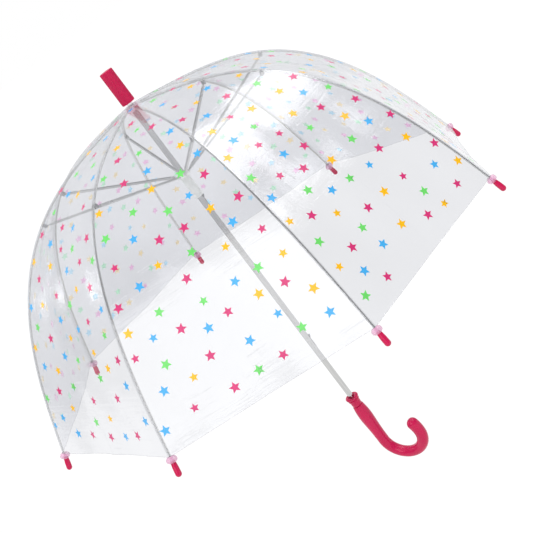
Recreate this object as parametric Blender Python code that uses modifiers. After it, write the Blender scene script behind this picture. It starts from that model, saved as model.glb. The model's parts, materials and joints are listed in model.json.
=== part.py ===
"""Child's clear dome umbrella, open, as separate parts.

Metres, +Z up along the shaft towards the ferrule.  The origin is the middle of the straight grip of
the handle, on the shaft's axis.  The crook bends towards +X.

The eight ribs are spring steel.  Each is bent by its stretcher like a beam that is held at the crown
and at its tip, so its curvature grows evenly from nothing at the crown to its greatest value at the
stretcher, and falls evenly to nothing at the tip.  rib_slope() is that curve, and everything that
rests on a rib is placed from it.
"""
import math

import bmesh
import bpy
import numpy as np
from mathutils import Matrix, Vector

# ---------------------------------------------------------------- driving dimensions
RIB_COUNT = 8
RIB_STEP = 2 * math.pi / RIB_COUNT
RIB_PHASE = math.radians(6.0)          # first rib's turn from the crook's plane
GAP = 0.0003                           # running gap between touching pieces

CROWN_Z = 0.5585                       # where the ribs' canopy meets the ferrule
FERRULE_TOP = CROWN_Z + 0.0493
GRIP_HALF = 0.0345                     # half of the straight grip of the handle

SHAFT_R = 0.004
SHAFT_WALL = 0.0007
SHAFT_BOTTOM = -0.012
SHAFT_TOP = CROWN_Z + 0.030
BORE_R = SHAFT_R + GAP

FERRULE_BOTTOM = CROWN_Z + 0.0016
FERRULE_R = 0.0088
FLUTES = 20                            # small grip ribs round the ferrule
FLUTE_DEPTH = 0.0004
FERRULE_EDGE = 0.0006
WASHER_R = 0.0106
WASHER_TOP = CROWN_Z + 0.0013

HINGE_R = 0.0103                       # circle of the rib hinges round the shaft
HINGE_Z = CROWN_Z - 0.005
HUB_R = 0.0130
HUB_TOP = CROWN_Z - 0.0031
HUB_BOTTOM = HINGE_Z - 0.0045
RIB_START = 0.006                      # where the folded strip begins, beyond its tongue
RIB_LENGTH = 0.485
RIB_FIRST_SLOPE = math.radians(8.0)
RIB_BEND = math.radians(255.0)         # greatest curvature, per metre
FLEX_AT = 0.180                        # where the curvature is greatest
RIB_HALF_WIDTH = 0.0013
RIB_HALF_DEPTH = 0.0009
CHANNEL_WALL = 0.0005

STRETCHER_AT = FLEX_AT - 0.004         # the stretcher's clip, along the rib
STRETCHER_DROP = 0.0037                # its pin below the rib's middle line
STRETCHER_HALF_WIDTH = 0.0017
STRETCHER_HALF_DEPTH = 0.0013
TONGUE_HALF = 0.0007                   # half thickness of the tongues at the hinges
TONGUE_LENGTH = 0.009
RIB_TONGUE_DEPTH = 0.0007
ARM_TONGUE_DEPTH = 0.0008
ARM_START = 0.0065                     # where a stretcher's channel begins, from its pin
EYE_R = 0.0017
PIN_R = 0.0005
PIN_HOLE_R = PIN_R + GAP
CLIP_HALF = 0.0022                     # half length of a rib clip
CLIP_WALL = 0.0006

RUNNER_RING_R = 0.0085                 # circle of the stretchers' lower ends
RUNNER_RING_Z = CROWN_Z - 0.112
RUNNER_LENGTH = 0.038
RUNNER_HEAD_R = 0.0105
RUNNER_HEAD = 0.005                    # height of the slotted ring
RUNNER_SLEEVE_R = 0.0060
RUNNER_BEAD_R = 0.0068
SLOT_HALF = TONGUE_HALF + 0.0004

CANOPY_THICKNESS = 0.0004
CANOPY_START = -0.0045                 # along the rib, towards the shaft
CANOPY_END = RIB_LENGTH - 0.0085
CANOPY_LIFT = 0.0021                   # middle of the film above the rib's middle line
CROWN_LIFT = 0.0009                    # extra lift where the film drapes over the hub
CROWN_LIFT_FADE = 0.02

CAP_OVERLAP = 0.0065                   # how far a tip cap swallows its rib
CAP_REACH = 0.0155                     # how far it stands beyond the rib's end

HOOK_BEND_R = 0.031
HOOK_END = 0.0167                      # straight end of the crook after its half turn

SPRING_TURN = RIB_PHASE + RIB_STEP / 2
SPRING_TOOTH = 0.019                   # from a catch spring's root to the top of its tooth
WINDOW_BELOW = 0.0015                  # the tube's window, beyond the spring's ends
WINDOW_ABOVE = 0.001
WINDOW_REACH = 0.006
TOP_SPRING_Z = RUNNER_RING_Z + 0.0025 - RUNNER_LENGTH - GAP - SPRING_TOOTH
BOTTOM_SPRING_Z = 0.146

ROUND = 24                             # sides of a turned piece

PARTS = None
CUTTERS = None


# ---------------------------------------------------------------- the bent rib
def rib_slope(s):
    """Angle below the horizontal at a distance s along the rib."""
    rising = RIB_BEND * np.clip(s, 0.0, FLEX_AT) ** 2 / (2 * FLEX_AT)
    over = np.clip(s, FLEX_AT, RIB_LENGTH) - FLEX_AT
    falling = RIB_BEND * (over - over ** 2 / (2 * (RIB_LENGTH - FLEX_AT)))
    return RIB_FIRST_SLOPE + rising + falling


def rib_point(s, lift=0.0):
    """(radius, height) of the rib's middle line at s, moved outwards by lift."""
    steps = 400
    along = np.linspace(0.0, s, steps + 1)
    middle = (along[1:] + along[:-1]) / 2
    slopes = rib_slope(middle)
    piece = s / steps
    radius = HINGE_R + float(np.sum(np.cos(slopes))) * piece
    height = HINGE_Z - float(np.sum(np.sin(slopes))) * piece
    slope = float(rib_slope(np.array(s)))
    return radius + lift * math.sin(slope), height + lift * math.cos(slope)


def rib_band(start, stop, low, high, count):
    """Side outline of a strip along the rib, between two distances from its middle line."""
    stations = np.linspace(start, stop, count)
    upper = [rib_point(float(s), high) for s in stations]
    lower = [rib_point(float(s), low) for s in reversed(stations)]
    return upper + lower


def rib_turn(index):
    return RIB_PHASE + index * RIB_STEP


# ---------------------------------------------------------------- scene helpers
def clear_scene():
    for old in list(bpy.data.objects):
        bpy.data.objects.remove(old, do_unlink=True)


def make_collections():
    global PARTS, CUTTERS
    PARTS = bpy.data.collections.new("childrens_umbrella")
    CUTTERS = bpy.data.collections.new("cutters")
    bpy.context.scene.collection.children.link(PARTS)
    bpy.context.scene.collection.children.link(CUTTERS)


def make_material(name, colour, roughness, metallic=0.0, alpha=1.0):
    material = bpy.data.materials.new(name)
    material.use_nodes = True
    shader = material.node_tree.nodes["Principled BSDF"]
    shader.inputs["Base Color"].default_value = (*colour, 1.0)
    shader.inputs["Roughness"].default_value = roughness
    shader.inputs["Metallic"].default_value = metallic
    shader.inputs["Alpha"].default_value = alpha
    return material


def place(name, mesh, material, location=(0, 0, 0), turn=0.0):
    piece = bpy.data.objects.new(name, mesh)
    piece.location = location
    piece.rotation_euler = (0, 0, turn)
    PARTS.objects.link(piece)
    if not mesh.materials:
        mesh.materials.append(material)
    return piece


def smooth(mesh, angle=35.0):
    mesh.shade_smooth()
    mesh.set_sharp_from_angle(angle=math.radians(angle))


def baked_mesh(source, name):
    """The evaluated shape of an object as one welded mesh; the object is removed."""
    bpy.context.view_layer.update()
    depsgraph = bpy.context.evaluated_depsgraph_get()
    mesh = bpy.data.meshes.new_from_object(source.evaluated_get(depsgraph))
    mesh.name = name
    mesh.transform(source.matrix_world)
    welded = bmesh.new()
    welded.from_mesh(mesh)
    bmesh.ops.remove_doubles(welded, verts=welded.verts, dist=0.000002)
    welded.to_mesh(mesh)
    welded.free()
    bpy.data.objects.remove(source, do_unlink=True)
    return mesh


def turned_mesh(name, profile, steps=ROUND):
    """A closed profile of (radius, height) points turned round Z; it runs down the outer side."""
    mesh = bpy.data.meshes.new(name + "_profile")
    edges = [(i, (i + 1) % len(profile)) for i in range(len(profile))]
    mesh.from_pydata([(r, 0, z) for r, z in profile], edges, [])
    source = bpy.data.objects.new(name + "_profile", mesh)
    CUTTERS.objects.link(source)
    screw = source.modifiers.new("turn", "SCREW")
    screw.steps = steps
    screw.render_steps = steps
    screw.use_merge_vertices = True
    screw.merge_threshold = 0.00001
    return baked_mesh(source, name)


def plate_mesh(name, outline, half_thickness):
    """A flat outline of (x, z) points as a plate."""
    curve = bpy.data.curves.new(name + "_outline", "CURVE")
    curve.dimensions = "2D"
    curve.fill_mode = "BOTH"
    curve.extrude = half_thickness
    spline = curve.splines.new("POLY")
    spline.points.add(len(outline) - 1)
    for point, (x, z) in zip(spline.points, outline):
        point.co = (x, z, 0, 1)
    spline.use_cyclic_u = True
    source = bpy.data.objects.new(name + "_outline", curve)
    source.rotation_euler = (math.pi / 2, 0, 0)
    CUTTERS.objects.link(source)
    return baked_mesh(source, name)


def circle(x, z, radius, count, first=0.0, sweep=2 * math.pi):
    """Points on an arc; a full circle doesn't repeat its first point."""
    last = count if abs(sweep - 2 * math.pi) < 1e-9 else count - 1
    return [
        (x + radius * math.cos(first + sweep * i / last), z + radius * math.sin(first + sweep * i / last))
        for i in range(count)
    ]


def box_mesh(name, low, high):
    solid = bmesh.new()
    bmesh.ops.create_cube(solid, size=1.0)
    size = Vector(high) - Vector(low)
    middle = (Vector(high) + Vector(low)) / 2
    bmesh.ops.transform(solid, matrix=Matrix.Translation(middle) @ Matrix.Diagonal((*size, 1)), verts=solid.verts)
    mesh = bpy.data.meshes.new(name)
    solid.to_mesh(mesh)
    solid.free()
    return mesh


def rod_mesh(name, radius, start, stop, sides=ROUND):
    """A plain cylinder between two points."""
    start, stop = Vector(start), Vector(stop)
    axis = stop - start
    solid = bmesh.new()
    bmesh.ops.create_cone(
        solid, cap_ends=True, segments=sides, radius1=radius, radius2=radius, depth=axis.length
    )
    turn = axis.to_track_quat("Z", "Y").to_matrix().to_4x4()
    bmesh.ops.transform(solid, matrix=Matrix.Translation((start + stop) / 2) @ turn, verts=solid.verts)
    mesh = bpy.data.meshes.new(name)
    solid.to_mesh(mesh)
    solid.free()
    return mesh


def combined(name, base, steps):
    """base with each (operation, mesh) of steps applied to it in turn."""
    target = bpy.data.objects.new(name + "_blank", base)
    CUTTERS.objects.link(target)
    tools = []
    for operation, mesh in steps:
        tool = bpy.data.objects.new(name + "_tool", mesh)
        tool.hide_render = True
        tool.display_type = "WIRE"
        CUTTERS.objects.link(tool)
        tools.append(tool)
        boolean = target.modifiers.new(operation.lower(), "BOOLEAN")
        boolean.operation = operation
        boolean.solver = "EXACT"
        boolean.object = tool
    mesh = baked_mesh(target, name)
    for tool in tools:
        bpy.data.objects.remove(tool, do_unlink=True)
    return mesh


def turned_round(mesh, angle):
    """The same mesh turned about Z."""
    copy = mesh.copy()
    copy.transform(Matrix.Rotation(angle, 4, "Z"))
    return copy


# ---------------------------------------------------------------- shaft, crown and ferrule
def make_shaft(steel):
    inner = SHAFT_R - SHAFT_WALL
    profile = [(SHAFT_R, SHAFT_TOP), (SHAFT_R, SHAFT_BOTTOM), (inner, SHAFT_BOTTOM), (inner, SHAFT_TOP)]
    tube = turned_mesh("tube", profile)
    cuts = []
    for root in (TOP_SPRING_Z, BOTTOM_SPRING_Z):
        low = (0, -SLOT_HALF, root - WINDOW_BELOW)
        high = (WINDOW_REACH, SLOT_HALF, root + SPRING_TOOTH + WINDOW_ABOVE)
        cuts.append(("DIFFERENCE", turned_round(box_mesh("window", low, high), SPRING_TURN)))
    mesh = combined("shaft_tube", tube, cuts)
    smooth(mesh)
    place("shaft_tube", mesh, steel)


def make_ferrule(pink):
    """The ribbed end cap over the top of the shaft."""
    outline = []
    for step in range(4 * FLUTES):
        angle = 2 * math.pi * step / (4 * FLUTES)
        radius = FERRULE_R + FLUTE_DEPTH * math.cos(FLUTES * angle)
        outline.append((radius * math.cos(angle), radius * math.sin(angle)))
    half = (FERRULE_TOP - FERRULE_BOTTOM) / 2
    body = plate_mesh("ferrule", outline, half)
    body.transform(Matrix.Translation((0, 0, FERRULE_BOTTOM + half)) @ Matrix.Rotation(-math.pi / 2, 4, "X"))
    bore = rod_mesh("bore", BORE_R, (0, 0, FERRULE_BOTTOM - 0.001), (0, 0, SHAFT_TOP + 0.0005))
    mesh = combined("ferrule", body, [("DIFFERENCE", bore)])
    smooth(mesh)
    piece = place("ferrule", mesh, pink)
    edge = piece.modifiers.new("edge", "BEVEL")
    edge.width = FERRULE_EDGE
    edge.segments = 1
    edge.limit_method = "ANGLE"
    edge.angle_limit = math.radians(60)


def make_crown_washer(pink):
    low, high = CROWN_Z + GAP, WASHER_TOP
    mesh = turned_mesh("crown_washer", [(WASHER_R, high), (WASHER_R, low), (BORE_R, low), (BORE_R, high)])
    smooth(mesh)
    place("crown_washer", mesh, pink)


def hinge_slots(radius, low, high):
    """Radial slots for the tongues of the ribs or stretchers, as cutters."""
    slot = box_mesh("slot", (radius, -SLOT_HALF, low - 0.001), (0.02, SLOT_HALF, high + 0.001))
    return [("DIFFERENCE", turned_round(slot, rib_turn(i))) for i in range(RIB_COUNT)]


def make_crown_hub(pink):
    """The upper notch: a slotted disc that holds the ribs' inner ends on a wire ring."""
    low, high = HUB_BOTTOM, HUB_TOP
    disc = turned_mesh("disc", [(HUB_R, high), (HUB_R, low), (BORE_R, low), (BORE_R, high)], steps=32)
    groove_low, groove_high = low - 0.001, HINGE_Z + PIN_R + GAP
    inner, outer = HINGE_R - PIN_R - GAP, HINGE_R + PIN_R + GAP
    groove = turned_mesh(
        "groove",
        [(outer, groove_high), (outer, groove_low), (inner, groove_low), (inner, groove_high)],
        steps=32,
    )
    mesh = combined("crown_hub", disc, [("DIFFERENCE", groove)] + hinge_slots(HINGE_R - EYE_R - GAP, low, high))
    smooth(mesh)
    place("crown_hub", mesh, pink)


def make_crown_wire(steel):
    """The wire ring that every rib turns on."""
    ring = circle(HINGE_R, HINGE_Z, PIN_R, 6, first=math.pi / 2, sweep=2 * math.pi)
    mesh = turned_mesh("crown_wire", list(reversed(ring)), steps=32)
    smooth(mesh, 60)
    place("crown_wire", mesh, steel)


# ---------------------------------------------------------------- ribs and stretchers
def rib_local(outline, origin):
    """Outline points measured from a joint's axis."""
    return [(x - origin[0], z - origin[1]) for x, z in outline]


def rib_part_mesh(name, start, stop, hollow_start, hollow_stop, origin, count):
    """A length of the rib: a strip of sheet steel folded to a channel that is open below."""
    band = rib_local(rib_band(start, stop, -RIB_HALF_DEPTH, RIB_HALF_DEPTH, count), origin)
    hollow_top = RIB_HALF_DEPTH - CHANNEL_WALL
    hollow = rib_local(
        rib_band(hollow_start, hollow_stop, -RIB_HALF_DEPTH - 0.001, hollow_top, count), origin
    )
    strip = plate_mesh("strip", band, RIB_HALF_WIDTH)
    channel = plate_mesh("channel", hollow, RIB_HALF_WIDTH - CHANNEL_WALL)
    return combined(name, strip, [("DIFFERENCE", channel)])


def tongue_outline(half_depth):
    """A round eye at the origin with a bar that runs to +x."""
    lean = math.asin(half_depth / EYE_R)
    round_end = circle(0, 0, EYE_R, 11, first=lean, sweep=2 * math.pi - 2 * lean)
    return round_end + [(TONGUE_LENGTH, -half_depth), (TONGUE_LENGTH, half_depth)]


def make_ribs(steel):
    hinge = (HINGE_R, HINGE_Z)
    strip = rib_part_mesh("strip", RIB_START, FLEX_AT - GAP / 2, 2 * RIB_START, STRETCHER_AT - 0.006, hinge, 12)
    tongue = plate_mesh("tongue", tongue_outline(RIB_TONGUE_DEPTH), TONGUE_HALF)
    tongue.transform(Matrix.Rotation(RIB_FIRST_SLOPE, 4, "Y"))
    eye = rod_mesh("eye", PIN_HOLE_R + 0.0001, (0, -0.003, 0), (0, 0.003, 0), sides=12)
    mesh = combined("rib", strip, [("UNION", tongue), ("DIFFERENCE", eye)])
    for i in range(RIB_COUNT):
        turn = rib_turn(i)
        centre = (HINGE_R * math.cos(turn), HINGE_R * math.sin(turn), HINGE_Z)
        place(f"rib_{i + 1}", mesh, steel, centre, turn)


def flex_pivot():
    """The outer length of a rib turns about the rib's upper face."""
    return rib_point(FLEX_AT, RIB_HALF_DEPTH)


def make_rib_tips(steel):
    pivot = flex_pivot()
    mesh = rib_part_mesh(
        "rib_outer", FLEX_AT + GAP / 2, RIB_LENGTH, FLEX_AT + 0.004, RIB_LENGTH - 0.010, pivot, 18
    )
    for i in range(RIB_COUNT):
        turn = rib_turn(i)
        centre = (pivot[0] * math.cos(turn), pivot[0] * math.sin(turn), pivot[1])
        place(f"rib_outer_{i + 1}", mesh, steel, centre, turn)


def stretcher_ends():
    upper = rib_point(STRETCHER_AT, -STRETCHER_DROP)
    return upper, (RUNNER_RING_R, RUNNER_RING_Z)


def make_clips(steel):
    """The clip on each rib that carries the stretcher's pin."""
    upper = rib_point(STRETCHER_AT, -STRETCHER_DROP)
    slope = float(rib_slope(np.array(STRETCHER_AT)))
    inner, outer = RIB_HALF_WIDTH + GAP, RIB_HALF_WIDTH + GAP + CLIP_WALL
    top = STRETCHER_DROP + CLIP_WALL
    outline = circle(0, 0, CLIP_HALF, 9, first=math.pi, sweep=math.pi) + [(CLIP_HALF, top), (-CLIP_HALF, top)]
    block = plate_mesh("cheeks", outline, outer)
    under_rib = STRETCHER_DROP - RIB_HALF_DEPTH - GAP
    cradle = box_mesh("cradle", (-0.01, -inner, under_rib), (0.01, inner, 0.01))
    throat = box_mesh("throat", (-0.01, -inner, -0.01), (0.01, inner, under_rib - CLIP_WALL))
    pin = rod_mesh("pin", PIN_R, (0, -inner - CLIP_WALL / 2, 0), (0, inner + CLIP_WALL / 2, 0), sides=10)
    mesh = combined("rib_clip", block, [("DIFFERENCE", cradle), ("DIFFERENCE", throat), ("UNION", pin)])
    mesh.transform(Matrix.Rotation(slope, 4, "Y"))
    for i in range(RIB_COUNT):
        turn = rib_turn(i)
        centre = (upper[0] * math.cos(turn), upper[0] * math.sin(turn), upper[1])
        place(f"rib_clip_{i + 1}", mesh, steel, centre, turn)


def make_stretchers(steel):
    """Channel bars, open above, from the clips down and in to the runner."""
    upper, lower = stretcher_ends()
    length = math.dist(upper, lower)
    start, stop = ARM_START, length - ARM_START
    depth, wall = STRETCHER_HALF_DEPTH, CHANNEL_WALL
    bar = box_mesh("bar", (start, -STRETCHER_HALF_WIDTH, -depth), (stop, STRETCHER_HALF_WIDTH, depth))
    inside = STRETCHER_HALF_WIDTH - wall
    hollow = box_mesh("hollow", (start + 0.004, -inside, -depth + wall), (stop - 0.004, inside, depth + 0.001))
    tongue = plate_mesh("tongue", tongue_outline(ARM_TONGUE_DEPTH), TONGUE_HALF)
    far_tongue = tongue.copy()
    far_tongue.transform(Matrix.Translation((length, 0, 0)) @ Matrix.Rotation(math.pi, 4, "Y"))
    eye = rod_mesh("eye", PIN_HOLE_R, (0, -0.003, 0), (0, 0.003, 0), sides=12)
    far_eye = eye.copy()
    far_eye.transform(Matrix.Translation((length, 0, 0)))
    mesh = combined(
        "stretcher",
        bar,
        [
            ("DIFFERENCE", hollow),
            ("UNION", tongue),
            ("UNION", far_tongue),
            ("DIFFERENCE", eye),
            ("DIFFERENCE", far_eye),
        ],
    )
    dive = math.atan2(upper[1] - lower[1], upper[0] - lower[0])
    mesh.transform(Matrix.Rotation(math.pi, 4, "Z"))
    mesh.transform(Matrix.Rotation(-dive, 4, "Y"))
    for i in range(RIB_COUNT):
        turn = rib_turn(i)
        centre = (upper[0] * math.cos(turn), upper[0] * math.sin(turn), upper[1])
        place(f"stretcher_{i + 1}", mesh, steel, centre, turn)


def make_tip_caps(pink):
    """Moulded caps on the ribs' ends: a disc that holds the film's corner, and a rounded bulb."""
    end_radius, end_height = rib_point(RIB_LENGTH)
    slope = float(rib_slope(np.array(RIB_LENGTH)))
    neck, disc, bulb, bore = 0.0025, 0.0050, 0.0034, 0.0019
    bulb_middle = CAP_REACH - bulb
    profile = [(neck, -CAP_OVERLAP), (neck, -0.0052), (disc, -0.0050), (disc, -0.0042), (neck, -0.0040)]
    profile += [(neck, 0.0), (0.0031, bulb_middle)]
    profile += [
        (bulb * math.cos(a), bulb_middle + bulb * math.sin(a)) for a in (math.pi / 2 * k / 5 for k in range(1, 5))
    ]
    profile.append((0.0, CAP_REACH))
    mouth = [(0.0, 0.0015), (bore, 0.0015), (bore, -CAP_OVERLAP)]
    mesh = turned_mesh("tip_cap", profile + mouth, steps=12)
    mesh.flip_normals()
    mesh.transform(Matrix.Rotation(math.pi / 2 + slope, 4, "Y"))
    smooth(mesh)
    for i in range(RIB_COUNT):
        turn = rib_turn(i)
        centre = (end_radius * math.cos(turn), end_radius * math.sin(turn), end_height)
        place(f"tip_cap_{i + 1}", mesh, pink, centre, turn)


# ---------------------------------------------------------------- canopy
def canopy_edge(s):
    """(radius, height) of the film over a rib."""
    lift = CANOPY_LIFT + CROWN_LIFT * math.exp(-max(s, 0.0) / CROWN_LIFT_FADE)
    return rib_point(s, lift)


def make_panels(film):
    """One cut panel of film from each rib to the next, stretched straight across between them."""
    rows = 26
    pivot = flex_pivot()
    sheet = bmesh.new()
    bmesh.ops.create_grid(sheet, x_segments=rows, y_segments=1, size=1.0)
    for vertex in sheet.verts:
        share = (vertex.co.x + 1) / 2
        s = CANOPY_START + (CANOPY_END - CANOPY_START) * share
        radius, height = canopy_edge(s)
        near = Vector((radius, 0.0))
        far = Vector((radius * math.cos(RIB_STEP), radius * math.sin(RIB_STEP)))
        across = (far - near).normalized()
        seam = across * (GAP / 2 + CANOPY_THICKNESS / 4)
        corner = near + seam if vertex.co.y < 0 else far - seam
        vertex.co = (corner.x - pivot[0], corner.y, height - pivot[1])
    mesh = bpy.data.meshes.new("panel")
    sheet.to_mesh(mesh)
    sheet.free()
    smooth(mesh)
    for i in range(RIB_COUNT):
        turn = rib_turn(i)
        centre = (pivot[0] * math.cos(turn), pivot[0] * math.sin(turn), pivot[1])
        piece = place(f"canopy_panel_{i + 1}", mesh, film, centre, turn)
        shell = piece.modifiers.new("film", "SOLIDIFY")
        shell.thickness = CANOPY_THICKNESS
        shell.offset = 0.0


# ---------------------------------------------------------------- runner and catch springs
def make_runner(milky):
    """The slider: a slotted ring for the stretchers' ends on top of a sleeve."""
    top = RUNNER_RING_Z + 0.0025
    bottom = top - RUNNER_LENGTH
    profile = [
        (RUNNER_HEAD_R, top),
        (RUNNER_HEAD_R, top - RUNNER_HEAD),
        (RUNNER_SLEEVE_R + 0.0004, top - RUNNER_HEAD - 0.0015),
        (RUNNER_SLEEVE_R, bottom + 0.004),
        (RUNNER_BEAD_R, bottom + 0.003),
        (RUNNER_BEAD_R, bottom),
        (BORE_R, bottom),
        (BORE_R, top),
    ]
    blank = turned_mesh("runner", profile, steps=32)
    slots = hinge_slots(RUNNER_RING_R - EYE_R - GAP, top - RUNNER_HEAD - 0.0002, top)
    window = box_mesh("window", (0.0, -SLOT_HALF, bottom + 0.005), (0.01, SLOT_HALF, bottom + 0.014))
    mesh = combined("runner", blank, slots + [("DIFFERENCE", turned_round(window, SPRING_TURN))])
    smooth(mesh)
    place("runner", mesh, milky)


def make_catch_springs(steel):
    """Flat springs in the tube whose teeth stand out of its windows."""
    outline = [
        (-0.0029, -0.0006),
        (0.0006, -0.0006),
        (0.0029, 0.0110),
        (0.0062, 0.0172),
        (0.0062, SPRING_TOOTH),
        (0.0020, SPRING_TOOTH),
        (0.0012, 0.0110),
        (-0.0006, 0.0008),
        (-0.0029, 0.0008),
    ]
    mesh = plate_mesh("catch_spring", outline, TONGUE_HALF)
    place("top_spring", mesh, steel, (0, 0, TOP_SPRING_Z), SPRING_TURN)
    place("bottom_spring", mesh, steel, (0, 0, BOTTOM_SPRING_Z), SPRING_TURN)


# ---------------------------------------------------------------- handle
def make_collar(pink):
    """The notched cup at the top of the handle, with a rolled rim."""
    low = GRIP_HALF + GAP
    bead_r, bead_z, bead = 0.0072, low + 0.0144, 0.0026
    rim = [
        (bead_r + bead * math.cos(a), bead_z + bead * math.sin(a))
        for a in (math.radians(165 - 30 * k) for k in range(8))
    ]
    outer = [(0.0078, low + 0.0112), (0.0084, low + 0.0106), (0.0084, low + 0.0094), (0.0071, low + 0.0080)]
    profile = [(BORE_R, bead_z)] + rim + outer + [(0.0066, low), (BORE_R, low)]
    cup = turned_mesh("collar", profile, steps=24)
    notch_turn = math.radians(-49.0)
    across = Vector((math.cos(notch_turn), math.sin(notch_turn), 0)) * 0.02
    notch_middle = Vector((0, 0, bead_z + bead + 0.0004))
    notch = rod_mesh("notch", 0.0034, notch_middle - across, notch_middle + across, sides=20)
    mesh = combined("handle_collar", cup, [("DIFFERENCE", notch)])
    smooth(mesh, 40)
    place("handle_collar", mesh, pink)


def hook_radius(distance, total):
    """Thickness of the handle: slim at the collar, a swell for the palm, a rounded end."""
    swell_at = 0.020
    swell = 0.0018 * math.exp(-((distance - swell_at) / 0.022) ** 2)
    neck = 0.0018 * math.exp(-distance / 0.007)
    tail = 0.0006 * max(0.0, (distance - 0.12) / (total - 0.12))
    radius = 0.0080 + swell - neck + tail
    left = total - distance
    if left < radius:
        radius = math.sqrt(max(radius ** 2 - (radius - left) ** 2, 1e-9))
    return radius


def hook_path(distance):
    """Point on the handle's middle line: down, half a turn towards +X, and up."""
    straight = 2 * GRIP_HALF - GAP
    if distance < straight:
        return 0.0, GRIP_HALF - GAP - distance
    turn = (distance - straight) / HOOK_BEND_R
    if turn < math.pi:
        return HOOK_BEND_R * (1 - math.cos(turn)), -GRIP_HALF - HOOK_BEND_R * math.sin(turn)
    over = distance - straight - math.pi * HOOK_BEND_R
    return 2 * HOOK_BEND_R, -GRIP_HALF + over


def make_hook(pink):
    total = 2 * GRIP_HALF - GAP + math.pi * HOOK_BEND_R + HOOK_END
    end = 0.0086
    body = list(np.linspace(0.0, total - end, 30))
    dome = [total - end * (1 - math.sin(a)) for a in (math.pi / 2 * k / 5 for k in range(1, 5))]
    stations = body + dome + [total - 0.00012]
    curve = bpy.data.curves.new("handle_line", "CURVE")
    curve.dimensions = "3D"
    curve.bevel_depth = 1.0
    curve.bevel_resolution = 6
    curve.use_fill_caps = True
    spline = curve.splines.new("POLY")
    spline.points.add(len(stations) - 1)
    for point, distance in zip(spline.points, stations):
        x, z = hook_path(distance)
        point.co = (x, 0, z, 1)
        point.radius = hook_radius(distance, total)
    source = bpy.data.objects.new("handle_line", curve)
    CUTTERS.objects.link(source)
    solid = baked_mesh(source, "handle_solid")
    bore = rod_mesh("bore", BORE_R, (0, 0, SHAFT_BOTTOM - 0.0005), (0, 0, GRIP_HALF + 0.001))
    mesh = combined("handle_hook", solid, [("DIFFERENCE", bore)])
    smooth(mesh, 50)
    place("handle_hook", mesh, pink)


# ---------------------------------------------------------------- the umbrella
def build():
    clear_scene()
    make_collections()
    pink = make_material("pink_plastic", (0.68, 0.02, 0.12), 0.25)
    milky = make_material("milky_plastic", (0.85, 0.86, 0.88), 0.35, alpha=0.7)
    steel = make_material("bright_steel", (0.62, 0.62, 0.60), 0.3, metallic=1.0)
    rib_steel = make_material("rib_steel", (0.5, 0.5, 0.5), 0.35, metallic=1.0)
    spring_steel = make_material("spring_steel", (0.45, 0.45, 0.47), 0.35, metallic=1.0)
    film = make_material("clear_film", (0.93, 0.95, 0.97), 0.1, alpha=0.3)
    make_shaft(steel)
    make_ferrule(pink)
    make_crown_washer(pink)
    make_crown_hub(pink)
    make_crown_wire(spring_steel)
    make_runner(milky)
    make_catch_springs(spring_steel)
    make_ribs(rib_steel)
    make_rib_tips(rib_steel)
    make_clips(rib_steel)
    make_stretchers(rib_steel)
    make_tip_caps(pink)
    make_panels(film)
    make_collar(pink)
    make_hook(pink)


build()
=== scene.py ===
"""Looks of the child's clear dome umbrella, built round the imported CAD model.  Metres, row frame.

The film is cut in eight gores.  A gore lies flat across from one rib to the next and bends along them,
so film_points() places everything that lies on it: the film, the printed stars, the welds and the hem.
"""
import json
import math
import random

import bmesh
import bpy
import numpy as np
from mathutils import Matrix, Vector


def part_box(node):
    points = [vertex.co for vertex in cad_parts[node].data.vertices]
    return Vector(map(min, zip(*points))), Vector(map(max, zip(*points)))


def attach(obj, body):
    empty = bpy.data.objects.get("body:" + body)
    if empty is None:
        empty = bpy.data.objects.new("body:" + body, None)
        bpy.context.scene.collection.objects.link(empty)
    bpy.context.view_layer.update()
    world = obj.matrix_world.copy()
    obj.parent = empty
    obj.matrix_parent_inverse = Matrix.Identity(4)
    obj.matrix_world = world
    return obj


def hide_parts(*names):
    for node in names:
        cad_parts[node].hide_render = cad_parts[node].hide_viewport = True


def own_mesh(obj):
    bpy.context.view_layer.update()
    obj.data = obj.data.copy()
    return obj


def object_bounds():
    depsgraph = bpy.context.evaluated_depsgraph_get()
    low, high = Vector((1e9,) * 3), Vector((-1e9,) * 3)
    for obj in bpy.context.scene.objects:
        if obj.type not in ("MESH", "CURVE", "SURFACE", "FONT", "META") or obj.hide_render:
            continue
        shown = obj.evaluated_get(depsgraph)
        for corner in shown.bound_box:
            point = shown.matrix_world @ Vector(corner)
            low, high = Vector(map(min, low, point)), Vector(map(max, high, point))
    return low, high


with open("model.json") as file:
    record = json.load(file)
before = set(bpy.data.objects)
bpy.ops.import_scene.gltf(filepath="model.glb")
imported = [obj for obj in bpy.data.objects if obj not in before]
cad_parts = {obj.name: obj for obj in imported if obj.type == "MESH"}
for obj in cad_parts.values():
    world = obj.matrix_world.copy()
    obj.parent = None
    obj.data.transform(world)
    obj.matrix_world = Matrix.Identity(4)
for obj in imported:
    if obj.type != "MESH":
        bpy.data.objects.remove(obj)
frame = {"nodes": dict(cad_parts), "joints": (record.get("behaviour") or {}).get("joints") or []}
CAD_LOW, CAD_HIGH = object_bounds()

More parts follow.
